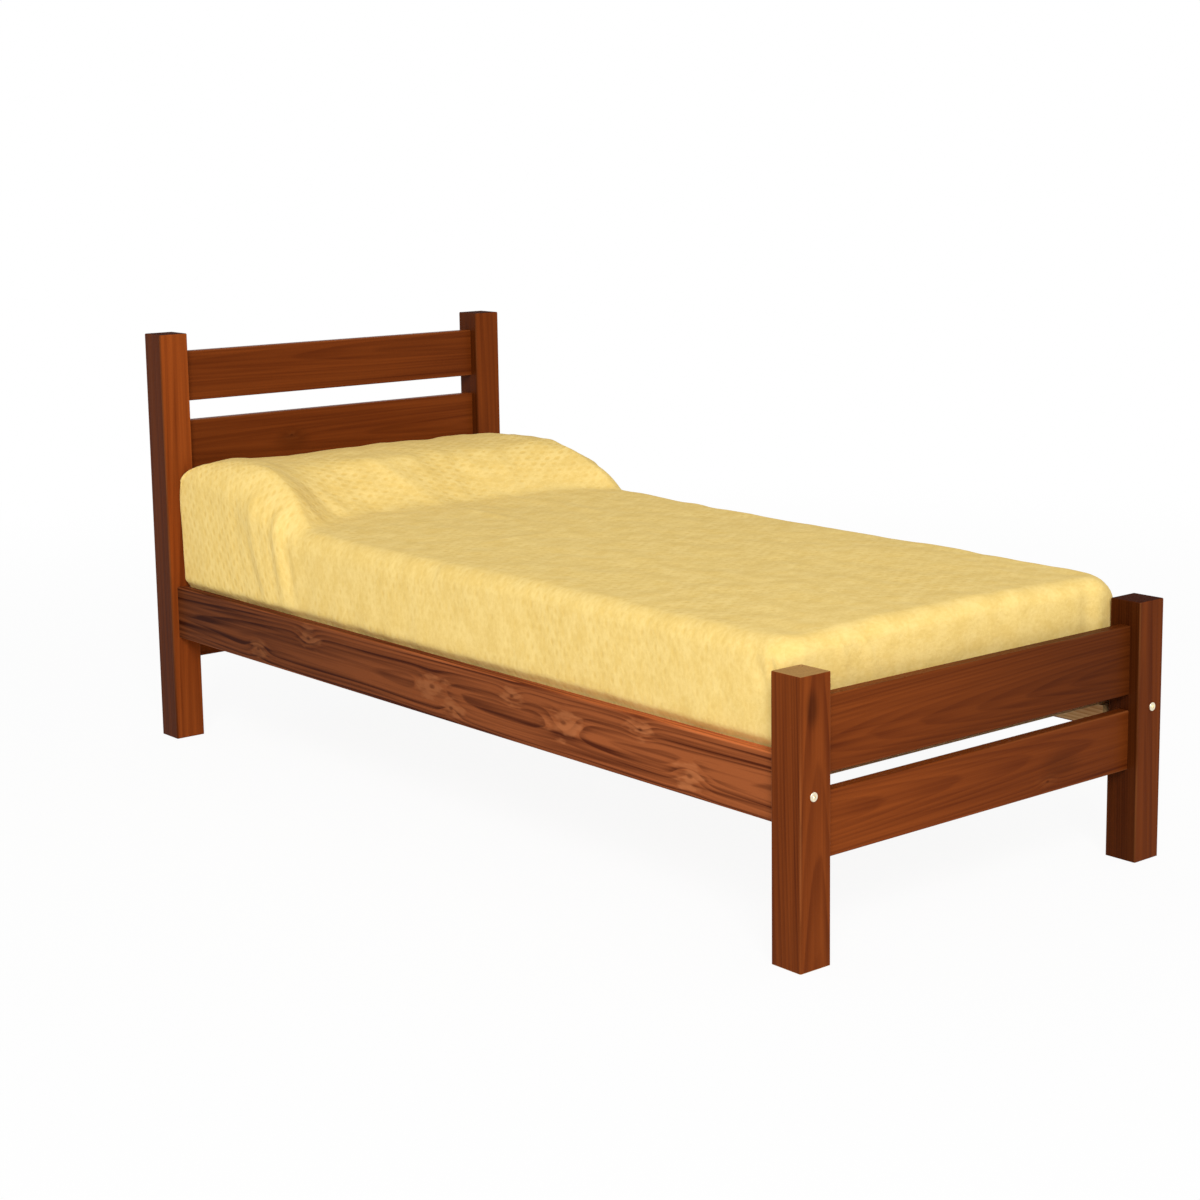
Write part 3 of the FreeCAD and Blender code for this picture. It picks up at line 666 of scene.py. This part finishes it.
# Each fold in millimetres: its places on the cloth, its half width and its height, negative for a groove.
# L and R are the long sides, and places of two values lie on top of the cloth
L, R = LEFT * spread_half_x / MM, RIGHT * spread_half_x / MM
FOLDS = [
    ([(L, 655, 600), (L, 634, 474), (L, 592, 362)], 7.4, 8),
    ([(L + 10, 562, 596), (L, 554, 500), (L, 530, 370)], 7.6, 8.4),
    ([(L, 676, 520), (L, 660, 440), (L, 618, 362)], 7, -5.6),
    ([(L, 590, 575), (L, 577, 480), (L, 556, 362)], 6.8, -5.8),
    ([(L, 524, 535), (L, 515, 450), (L, 496, 370)], 6.8, -5),
    ([(L, 712, 560), (L, 706, 480), (L, 690, 370)], 12, -3),
    ([(L, 612, 560), (L, 600, 460), (L, 578, 370)], 5, 2),
    ([(L, 735, 470), (L, 712, 370)], 10, 2.6),
    ([(R, 652, 570), (R, 628, 470), (R, 604, 365)], 11, 6.6),
    ([(R - 10, 552, 590), (R, 530, 495), (R, 508, 372)], 12, 8),
    ([(R, 602, 545), (R, 578, 450), (R, 560, 365)], 9, -6.2),
    ([(R, 494, 520), (R, 482, 440), (R, 470, 380)], 11, -4.5),
    ([(L, -905, 530), (-418, -944, 470), (-410, -950, 400)], 8, 6),
    ([(L, -880, 500), (L, -915, 430), (L, -925, 360)], 9, -3.5),
    ([(-395, -954, 505), (-385, -955, 400)], 8.5, -4.5),
    ([(-421, -921, 524), (L, -923, 500), (L, -925, 440)], 4.4, -7),
    ([(-262, -955, 500), (-228, -955, 438)], 5, -1.8),
    ([(-304, -955, 508), (-282, -955, 462)], 6, 4.2),
    ([(-248, -955, 505), (-212, -955, 445)], 6, 3.6),
    ([(322, -955, 520), (326, -955, 380)], 12, -3),
    ([(356, -955, 512), (362, -955, 380)], 13, 4.5),
    ([(404, -938, 500), (406, -940, 440), (406, -940, 360)], 15, 10),
    ([(-16, 560), (-20, 400), (-16, 230)], 11, 2.8),
    ([(-200, 388), (-115, 360)], 9, 2.2),
    ([(-250, 94), (-170, 88), (-92, 100)], 10, 2),
    ([(-210, -262), (-120, -250), (-168, -430)], 12, 1.8),
    ([(140, 520), (165, 380), (150, 120)], 14, 2),
    ([(-290, 680), (-250, 620), (-225, 550)], 12, 3),
    ([(-90, 700), (-60, 640), (-45, 570)], 12, 2.4),
    ([(90, 700), (75, 640), (60, 560)], 13, 2.2),
    ([(230, 690), (215, 620), (190, 540)], 13, 2.6),
    ([(-372, 600), (-345, 540), (-315, 490)], 14, 2.2),
    ([(250, -200), (80, -420), (-60, -700)], 20, 1.4),
    ([(-300, -150), (-250, -420), (-260, -640)], 18, 1.2),
]


def on_cloth(place):
    """A fold's place in metres, with its height read from the cloth's top where it has none."""
    x, y, *height = (value * MM for value in place)
    return (x, y, *(height or [top_height(x, y)]))


def crumple(points):
    """How far soft wrinkles lift the cloth: livelier on top, on the pillow and low down."""
    y, z = points[:, 1], points[:, 2]
    pillow = pillow_share(y) * smooth(*crumple_pillow_end, y)
    height = small_crumple + added_crumple * (smooth(*crumple_top, z) + pillow + smooth(*crumple_low, z))
    places = (points * wide_crumple_scale, points * small_crumple_scale + small_crumple_start)
    wide, small = ([noise.noise(Vector(p)) for p in scaled] for scaled in places)
    return wide_crumple * np.array(wide) + height * np.array(small)


def spread_top():
    """The cloth's top as a grid of points, and its places across and along."""
    side_in = spread_half_x - edge_round
    foot_corner, head_corner = inner_corners
    xs = spaced(-side_in, side_in, foot_corner, foot_corner, spread_corner_cells, mesh_cell)
    ys = spaced(foot_round - spread_half_y, spread_half_y - head_run, foot_corner, head_corner,
                spread_corner_cells, mesh_cell)
    x, y = rounded_plan(xs, ys, foot_corner, head_corner)
    shrink = 1 - (pillow_round - edge_round) * pillow_share(y) / side_in
    x = np.clip(x, -side_in, side_in) * shrink
    return np.stack([x, y, top_height(x, y)], -1), xs, ys


def outer_rim(xs, ys):
    """Where the cloth's side stands outside each point of the top's rim, and how far it faces each way."""
    n = spread_corner_cells
    j, i = np.array([place[:2] for place in loop_round(len(ys), len(xs))]).T
    from_x, from_y = np.minimum(i, len(xs) - 1 - i), np.minimum(j, len(ys) - 1 - j)
    side_x = np.where(i <= len(xs) / 2, LEFT, RIGHT)
    side_y = np.where(j <= len(ys) / 2, FOOT, HEAD)
    foot_radius, head_radius = outer_corners
    radius = np.where(side_y == FOOT, foot_radius, head_radius)
    angle = pi / 4 * (1 + (np.minimum(from_x, n) - np.minimum(from_y, n)) / n)
    faces_x, faces_y = np.cos(angle), np.sin(angle)
    first, last = ys[n], ys[-1 - n]
    along = ys[j] + smooth(side_shift_head, last, ys[j]) * (spread_half_y - head_radius - last)
    along += smooth(first + side_shift_foot, first, ys[j]) * (foot_radius - spread_half_y - first)
    x = np.where(from_x > n, xs[i] * (spread_half_x - radius) / xs[-1 - n],
                 side_x * (spread_half_x - radius + radius * faces_x))
    y = np.where(from_y > n, along, side_y * (spread_half_y - radius + radius * faces_y))
    return np.column_stack([x, y, faces_x, faces_y])


def spread_rings(inner, outer):
    """Rings of the cloth's sides, from the top's rim over the rounded edge and down to the hem."""
    along, faces_x, faces_y = outer[:, 1], outer[:, 2], outer[:, 3]
    at_foot = along < 0
    side_pillow = pillow_share(along) * faces_x
    edge = outer[:, :2].copy()
    outwards = np.sign(edge[:, 0])
    edge[:, 0] += outwards * pillow_bulge * side_pillow

    head_side = smooth(*head_turn_shares, faces_y) * ~at_foot
    fall = between(edge_round, pillow_round, pillow_share(along))
    fall = between(fall, foot_round, at_foot * faces_y)
    fall = between(fall, head_fall, head_side)
    fall = fall + corner_fall * at_foot * (2 * faces_x * faces_y) ** 2
    middle = smooth(end_climb_full, end_climb_begins, np.abs(inner[:, 0])) * head_side
    power = between(round_power, head_round_power, middle)
    rings = []
    for k in range(1, round_rows + 1):
        out = sin(pi / 2 * k / round_rows)
        plan = between(inner[:, :2], edge, out)
        rings.append(np.column_stack([plan, inner[:, 2] - fall * (1 - (1 - out ** power) ** (1 / power))]))
    start = rings[-1][:, 2]
    for k in range(1, wall_rows + 1):
        level = between(start, hem_z, k / wall_rows)
        tuck = bulge_in * (1 - smooth(bulge_low, bulge_high, level))
        tuck = tuck * (1 + pillow_tuck_share * side_pillow)
        rings.append(np.column_stack([edge[:, 0] - outwards * tuck * faces_x, edge[:, 1], level]))
    return np.array(rings)


def walked(points, axis):
    """How far each point of a grid is from its first edge, measured over the grid."""
    steps = norm(np.diff(points, axis=axis), axis=2)
    return np.insert(np.cumsum(steps, axis), 0, 0, axis)


def flat_places(top, wall):
    """The place of each quad's corners on the flat cloth, first the top's, then the sides' ring by ring."""
    rows, columns = top.shape[:2]
    across = walked(top, 1)
    across -= across[:, columns // 2][:, None]
    flat_top = np.stack([across, walked(top, 0)], -1).reshape(-1, 2)
    rim = flat_top[rim_numbers(rows, columns)]
    down = walked(wall, 0)
    slide = wall[:, :, :2] - wall[0, :, :2]
    ways = np.array([way for _, _, way in loop_round(rows, columns)], float)
    here = np.arange(len(rim))
    after = np.roll(here, -1)

    def laid(k, at):
        """Ring k at some columns, each let down on the side of the column before."""
        return rim[at] + ways * down[k][at][:, None] + (1 - np.abs(ways)) * slide[k][at]

    uvs = [flat_top[grid_faces(rows, columns).ravel()]]
    for k in range(len(wall) - 1):
        corners = [laid(k, here), laid(k + 1, here), laid(k + 1, after), laid(k, after)]
        uvs.append(np.stack(corners, 1).reshape(-1, 2))
    return np.concatenate(uvs)


def work_folds(piece):
    """Lifts the cloth along its normals by the folds, the soft wrinkles and the thicker hem."""
    mesh = piece.data
    points = np.zeros(len(mesh.vertices) * 3)
    normals = np.zeros(len(mesh.vertices) * 3)
    mesh.vertices.foreach_get("co", points)
    mesh.vertex_normals.foreach_get("vector", normals)
    points = points.reshape(-1, 3)
    lift = crumple(points)
    for path, width, height in FOLDS:
        away, along = line_distance(points, [on_cloth(place) for place in path])
        inside = fold_start_share + along * (1 - 2 * fold_start_share)
        lift += height * MM * bell(away / (width * MM)) * np.sin(pi * inside) ** fold_taper_power
    lift += hem_height * smooth(*hem_range, points[:, 2] - hem_z)
    points += normals.reshape(-1, 3) * lift[:, None]
    mesh.vertices.foreach_set("co", points.ravel())
    mesh.update()


def make_spread():
    """The bedspread as one sheet: its top over mattress and pillow, and four sides let down to the hem."""
    top, xs, ys = spread_top()
    grid = top.shape[:2]
    numbers = rim_numbers(*grid)
    rings = spread_rings(top.reshape(-1, 3)[numbers], outer_rim(xs, ys))
    points = np.concatenate([top.reshape(-1, 3), rings.reshape(-1, 3)])
    wall_numbers = ring_rows(numbers, rings, top.size // 3)
    faces = np.concatenate([grid_faces(*grid), wall_faces(wall_numbers)])
    piece = mesh_object("bedspread_cloth", points, faces, flat_places(top, points[wall_numbers]))
    work_folds(piece)
    thick = piece.modifiers.new("cloth", "SOLIDIFY")
    thick.thickness = spread_cloth
    thick.offset = -1
    graph = bpy.context.evaluated_depsgraph_get()
    done = bpy.data.meshes.new_from_object(piece.evaluated_get(graph), depsgraph=graph)
    piece.modifiers.clear()
    piece.data = done
    piece.data.materials.append(pique())
    return piece


spread = make_spread()
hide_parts("bedspread")
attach(spread, "root")

# Wood

RAIL_KNOTS = [(0.623, -0.028, 0.011), (0.424, 0.026, 0.012), (-0.01, 0.002, 0.015), (-0.07, -0.03, 0.011),
              (-0.26, 0.028, 0.01), (-0.41, 0.006, 0.015), (-0.62, 0.034, 0.01), (-0.746, -0.022, 0.013)]
# A face below 1 is painted shade on the board's left face; the end tones are partly painted light falling
# off
POSTS = {
    "head_post_left": dict(pith=(0.055, 0.02), figure=0.25, tone_and_painted_falloff=(1.25, 1.45), faces=[(X, LEFT, 0.36)]),
    "head_post_right": dict(pith=(0.06, -0.03), figure=0.2, tone_and_painted_falloff=(0.95, 0.9), faces=[(X, LEFT, 0.5)]),
    "foot_post_left": dict(pith=(0.048, 0.01), tilt=0.03, figure=0.3, tone_and_painted_falloff=(0.95, 1.0),
                           faces=[(X, LEFT, 0.9)], end=BARE_END,
                           patches=[(0.186, -0.008, 0.036, 0.016, 0.58)]),
    "foot_post_right": dict(pith=(0.05, -0.02), figure=0.25, tone_and_painted_falloff=(0.7, 0.67), faces=[(X, LEFT, 0.5)]),
}
END_RAILS = {
    "headboard_top_rail": dict(pith=(-0.04, 0.03), tilt=0.02, figure=0.18, tone_and_painted_falloff=(0.84, 0.78)),
    "headboard_middle_rail": dict(pith=(-0.045, -0.01), tilt=0.02, figure=0.18, tone_and_painted_falloff=(0.8, 0.9),
                                  knots=[(-0.12, -0.002, 0.007)],
                                  patches=[(-0.118, -0.012, 0.05, 0.03, 0.78)]),
    "headboard_lower_rail": dict(pith=(-0.05, 0.01), tilt=0.02, figure=0.3, tone_and_painted_falloff=(0.8, 0.8)),
    "footboard_top_rail": dict(pith=(0.034, -0.012), tilt=-0.045, figure=0.24, tone_and_painted_falloff=(0.92, 0.46)),
    "footboard_lower_rail": dict(pith=(0.042, 0.02), tilt=0.03, figure=0.26, tone_and_painted_falloff=(1.1, 0.7),
                                 knots=[(0.166, -0.034, 0.008)],
                                 patches=[(0.2, -0.01, 0.06, 0.03, 0.8)]),
}
# The top face gets painted light at 1.7; the darker head end is partly a painted falloff of light
SIDE_RAILS = {
    "side_rail_left": dict(pith=(0.05, 0.005), ring=0.005, smoke=1.4, tone_and_painted_falloff=(1.0, 0.41), wander=0.016,
                           faces=[(Z, RIGHT, 1.7)], knots=RAIL_KNOTS),
    "side_rail_right": dict(pith=(-0.05, 0.01), tilt=0.015, ring=0.005, smoke=1.2, tone_and_painted_falloff=(0.9, 0.6),
                            wander=0.016, faces=[(Z, RIGHT, 1.7)],
                            knots=[(-0.55, 0.02, 0.013), (0.1, -0.03, 0.012), (0.62, 0.025, 0.012)]),
}
ledger_knot = (0.3, 0.004, 0.008)
slat_count, first_slat_seed = 14, 30
slat_pith_depth, slat_pith_reach, slat_lean = -0.05, 0.02, 0.02
slat_knot_along, slat_knot_across, slat_knot_size = 0.31, 0.018, 0.009
knot_along_turn, knot_across_turn, pith_turn, lean_turn = 2.4, 1.7, 3.1, 1.9


def paint(node_name, material):
    """Gives a node of the frame its material."""
    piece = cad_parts[node_name]
    piece.data.materials.clear()
    piece.data.materials.append(material)
    piece.data.polygons.foreach_set("material_index", [0] * len(piece.data.polygons))


seed = 0
sorts = ((POSTS, Z, Y, STAIN), (END_RAILS, X, Y, STAIN), (SIDE_RAILS, Y, X, PALE_STAIN))
for boards, along, through, stain in sorts:
    for name, look in boards.items():
        seed += 1
        paint(name, wood(name, along, through, stain, seed, **look))
for name, seed in (("slat_ledger_left", 36), ("slat_ledger_right", 37)):
    paint(name, wood(name, Y, X, RAW, seed, pith=(0.03, 0.04), knots=[ledger_knot]))
for number in range(1, slat_count + 1):
    name = f"slat_{number:02d}"
    knot = (slat_knot_along * sin(knot_along_turn * number),
            slat_knot_across * cos(knot_across_turn * number), slat_knot_size)
    paint(name, wood(name, X, Z, RAW, first_slat_seed + number, knots=[knot],
                     pith=(slat_pith_depth, slat_pith_reach * sin(pith_turn * number)),
                     tilt=slat_lean * cos(lean_turn * number)))
paint("locating_dowels", wood("locating_dowels", Y, X, RAW, seed=60, pith=(0.5, 0.3), ring=0.002))
paint("bed_bolts", metal("brass", rgb(250, 238, 208), roughness=0.34, scratch=0.00002))
paint("barrel_nuts", metal("zinc_nuts", rgb(186, 190, 194), roughness=0.35, scratch=0.00003))
for name in ("slat_screws", "ledger_screws"):
    paint(name, metal(name + "_zinc", rgb(206, 198, 160), roughness=0.32, scratch=0.00002))

# Mattress, its core and the pillow

quilt_pitch = 0.095
quilt_depth = 0.0028
quilt_line = 0.006
quilt_margin = 0.03
mattress_corner = 0.04
mattress_round = 0.024
mattress_gap = 0.0008
mattress_draw_in = 0.002
mattress_cell = 0.012
piping_radius = 0.0042
piping_sink = 0.0035
piping_rise = 0.03
piping_cell = 0.03
piping_sides = 10
core_gap = 0.004
core_corner = 0.034
core_round = 0.018
core_cell = 0.03
slab_corner_cells = 4
slab_round_rows = 6
slab_wall_rows = 10
arc_cells = 8
no_length = 1e-9


def slab(name, half_x, half_y, low, high, corner, round_over, cell, quilt=0.0, draw_in=0.0):
    """A closed soft block with rounded corners and edges, a crowned top and, if asked for, quilting."""
    inner = corner - round_over
    xs, ys = (spaced(round_over - half, half - round_over, inner, inner, slab_corner_cells, cell)
              for half in (half_x, half_y))
    x, y = rounded_plan(xs, ys, inner, inner)
    diagonals = ((x + y) / quilt_pitch, (x - y) / quilt_pitch)
    sewn = sum(bell(np.abs((d + 0.5) % 1 - 0.5) * quilt_pitch / quilt_line) for d in diagonals)
    inside = smooth(0, quilt_margin, half_x - np.abs(x)) * smooth(0, quilt_margin, half_y - np.abs(y))
    dimple = quilt * np.clip(sewn, 0, 1) * inside
    rise = spread_crown * (1 - (x / half_x) ** 2)
    upper = np.stack([x, y, high + rise - dimple], -1)
    lower = np.stack([x, y, low + dimple], -1)
    rim, foot = (grid.reshape(-1, 3)[rim_numbers(*x.shape)] for grid in (upper, lower))
    spot = rim[:, :2]
    straight = np.array([half_x - corner, half_y - corner])
    away = spot - np.clip(spot, -straight, straight)
    away /= np.maximum(norm(away, axis=1), no_length)[:, None]

    def ring(out, level):
        """The rim moved outwards, at other levels."""
        return np.column_stack([spot + away * out, level])

    turns = [pi / 2 * k / slab_round_rows for k in range(1, slab_round_rows + 1)]
    shoulder = [(round_over * sin(turn), round_over * (1 - cos(turn))) for turn in turns]
    first, last = rim[:, 2] - round_over, foot[:, 2] + round_over
    rings = [ring(out, rim[:, 2] - drop) for out, drop in shoulder]
    for k in range(1, slab_wall_rows):
        share = k / slab_wall_rows
        rings.append(ring(round_over - draw_in * sin(pi * share), between(first, last, share)))
    rings += [ring(out, foot[:, 2] + drop) for out, drop in reversed(shoulder)]
    return closed_block(name, upper, lower, rings)


def rim_path(half_x, half_y, corner, level):
    """A closed path round the plan at one level."""
    path = []
    for side_x, side_y, start in ((1, 1, 0), (-1, 1, 90), (-1, -1, 180), (1, -1, 270)):
        for k in range(arc_cells + 1):
            angle = radians(start + 90 * k / arc_cells)
            path.append((side_x * (half_x - corner) + corner * cos(angle),
                         side_y * (half_y - corner) + corner * sin(angle), level))
    dense = []
    for here, there in zip(path, path[1:] + path[:1]):
        cells = max(1, round(dist(here, there) / piping_cell))
        dense += [tuple(between(a, b, k / cells) for a, b in zip(here, there)) for k in range(cells)]
    return dense


ticking = woven("ticking", rgb(236, 232, 222), rgb(176, 186, 196), pitch=0.019, ribs=0.004)
half_x, half_y = mattress_high.x - mattress_gap, mattress_high.y - mattress_gap
mattress_top = mattress_high.z - spread_crown
cover = slab("mattress_ticking", half_x, half_y, mattress_low.z + mattress_gap, mattress_top - mattress_gap,
             mattress_corner, mattress_round, mattress_cell, quilt=quilt_depth, draw_in=mattress_draw_in)
cover.data.materials.append(ticking)
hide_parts("mattress_cover")
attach(cover, "root")
for name, level in (("mattress_piping_low", mattress_low.z + piping_rise),
                    ("mattress_piping_high", mattress_top - piping_rise)):
    path = rim_path(half_x - piping_sink, half_y - piping_sink, mattress_corner, level)
    band = tube(name, path, piping_radius, piping_sides)
    band.data.materials.append(ticking)
    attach(band, "root")

core_low, core_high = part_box("mattress_core")
core = slab("mattress_foam", core_high.x - core_gap, core_high.y - core_gap, core_low.z + core_gap,
            core_high.z - spread_crown - core_gap, core_corner, core_round, core_cell)
core.data.materials.append(foam())
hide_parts("mattress_core")
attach(core, "root")

pillow_low, pillow_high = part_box("pillow")
pillow_seam = 0.545
pillow_cells = (96, 60)
front_cover = 0.05
pillow_end_gap = 0.004
cloth_gap = 0.007
floor_gap = 0.0015
crown_share = 0.4
pillow_pinch, pillow_draw = 0.03, 0.022
end_power, top_power, base_power = 4, 0.5, 0.8
least_rise = 0.001
seam_half = 0.0012
seam_below_roof = 0.002

# Puckers along the seam: height, waves across and along, and how the first ones bend
pucker_height = 0.0016
pucker_across, pucker_along = 41, 29
pucker_bend, pucker_bend_turn = 3, 5


def make_pillow():
    """A filled pillow, crowned on both sides and pinched to a seam, with drawn corners and puckers."""
    u, v = np.meshgrid(*(np.linspace(-1, 1, cells + 1) for cells in pillow_cells))
    pinch = 1 - pillow_pinch * (1 - u * u) * v * v
    draw = 1 - pillow_draw * (1 - v * v) * u * u
    x = (pillow_high.x - pillow_end_gap) * u * draw
    front = np.maximum(from_table(TOE, x) + front_cover, pillow_low.y)
    back = pillow_high.y - pillow_end_gap
    y = (front + back) / 2 + (back - front) / 2 * v * pinch
    full = ((1 - u ** end_power) * (1 - v ** end_power)) ** top_power
    bend = pucker_bend * np.sin(v * pucker_bend_turn)
    waves = np.sin(u * pucker_across + bend) + np.sin(v * pucker_along)
    pucker = pucker_height * waves * (1 - full)
    roof = edge_z + hump(x, y) + spread_crown * crown_share - cloth_gap
    floor = mattress_high.z + floor_gap
    seam = np.clip(roof - seam_below_roof, floor + seam_half, pillow_seam)
    above = seam + np.maximum(roof - seam, least_rise) * full + pucker
    above = np.minimum(above, np.maximum(roof, seam))
    below = seam - (seam - floor) * full ** base_power - pucker / 2
    rim = (np.abs(u) == 1) | (np.abs(v) == 1)
    above[rim] = seam[rim] + seam_half
    below[rim] = seam[rim] - seam_half
    piece = closed_block("pillow_case", np.stack([x, y, above], -1),
                         np.stack([x, y, np.maximum(below, floor)], -1))
    cotton = woven("pillow_cotton", rgb(240, 238, 232), rgb(232, 232, 230), pitch=0.006, ribs=0.0009)
    piece.data.materials.append(cotton)
    return piece


pillow = make_pillow()
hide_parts("pillow")
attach(pillow, "root")

# Floor, light and camera

picture_size = 1200
focal_pixels = 2297.6
middle_pixel = (660.0, 520.0)
sensor_width = 36
camera_place = (-2.8704, -3.5108, 1.2992)
camera_yaw, camera_pitch, camera_roll = 0.70921, 0.16314, -0.0104
key_strength = 2.4
key_distance, key_size = 15.0, 6.0
key_azimuth, key_elevation = 38, 34
world_strength = 0.44
floor_reach = 20.0
floor_white = (1.8, 4.5, 0.92, 1.0)
floor_colour = (0.95, 0.95, 0.95, 1.0)
WHITE = (1.0, 1.0, 1.0, 1.0)


def looking(yaw, pitch, roll=0.0):
    """A turn that looks along the bed, then to the right, down and round by these angles."""
    return (Matrix.Rotation(-yaw, 4, "Z") @ Matrix.Rotation(pi / 2 - pitch, 4, "X")
            @ Matrix.Rotation(roll, 4, "Z"))


def make_camera():
    """The photo's camera, with the lens and the small shift that were fitted to it."""
    data = bpy.data.cameras.new("camera")
    data.sensor_width = sensor_width
    data.lens = focal_pixels / picture_size * sensor_width
    data.shift_x = (picture_size / 2 - middle_pixel[0]) / picture_size
    data.shift_y = (middle_pixel[1] - picture_size / 2) / picture_size
    camera = new_object("camera", data)
    camera.matrix_world = Matrix.Translation(camera_place) @ looking(camera_yaw, camera_pitch, camera_roll)
    bpy.context.scene.camera = camera


def seen_directly(g):
    """One for what the camera sees directly, in a mirror or through glass."""
    path = g.add("ShaderNodeLightPath").outputs
    seen = g.largest(path["Is Camera Ray"], path["Is Glossy Ray"])
    return g.largest(seen, path["Is Transmission Ray"])


def make_world():
    """Soft white light from all round, and plain white behind the bed."""
    world = bpy.data.worlds.new("studio")
    g = Graph(world, "ShaderNodeOutputWorld")
    soft = g.add("ShaderNodeBackground", WHITE, world_strength).outputs[0]
    white = g.add("ShaderNodeBackground", WHITE, 1.0).outputs[0]
    g.put(g.out, g.mix_shaders(seen_directly(g), soft, white))
    bpy.context.scene.world = world


def make_floor():
    """A white floor, whiter to the camera's eye, that keeps a faint shadow and can't be seen from below."""
    corners = [(x * floor_reach, y * floor_reach, 0) for x, y in ((-1, -1), (1, -1), (1, 1), (-1, 1))]
    floor = mesh_object("floor", corners, [(0, 1, 2, 3)])
    g = Graph(bpy.data.materials.new("floor"))
    away = g.vector("LENGTH", g.own_place())
    share = g.eased(away, *floor_white)
    matt = g.add("ShaderNodeBsdfDiffuse", floor_colour).outputs[0]
    glow = g.add("ShaderNodeEmission", WHITE, 1.0).outputs[0]
    clear = g.add("ShaderNodeBsdfTransparent").outputs[0]
    above = g.mix_shaders(g.times(seen_directly(g), share), matt, glow)
    from_below = g.add("ShaderNodeNewGeometry").outputs["Backfacing"]
    g.put(g.out, g.mix_shaders(from_below, above, clear))
    floor.data.materials.append(g.owner)


def make_key():
    """One large soft lamp at the camera's left, far enough away to light the bed evenly."""
    data = bpy.data.lights.new("key", "AREA")
    data.energy = key_strength * pi * key_distance ** 2
    data.size = key_size
    turn = looking(radians(key_azimuth), radians(key_elevation))
    new_object("key", data).matrix_world = turn @ Matrix.Translation((0, 0, key_distance))


make_camera()
make_world()
make_floor()
make_key()
bpy.context.scene.view_settings.view_transform = "Standard"

bpy.context.view_layer.update()
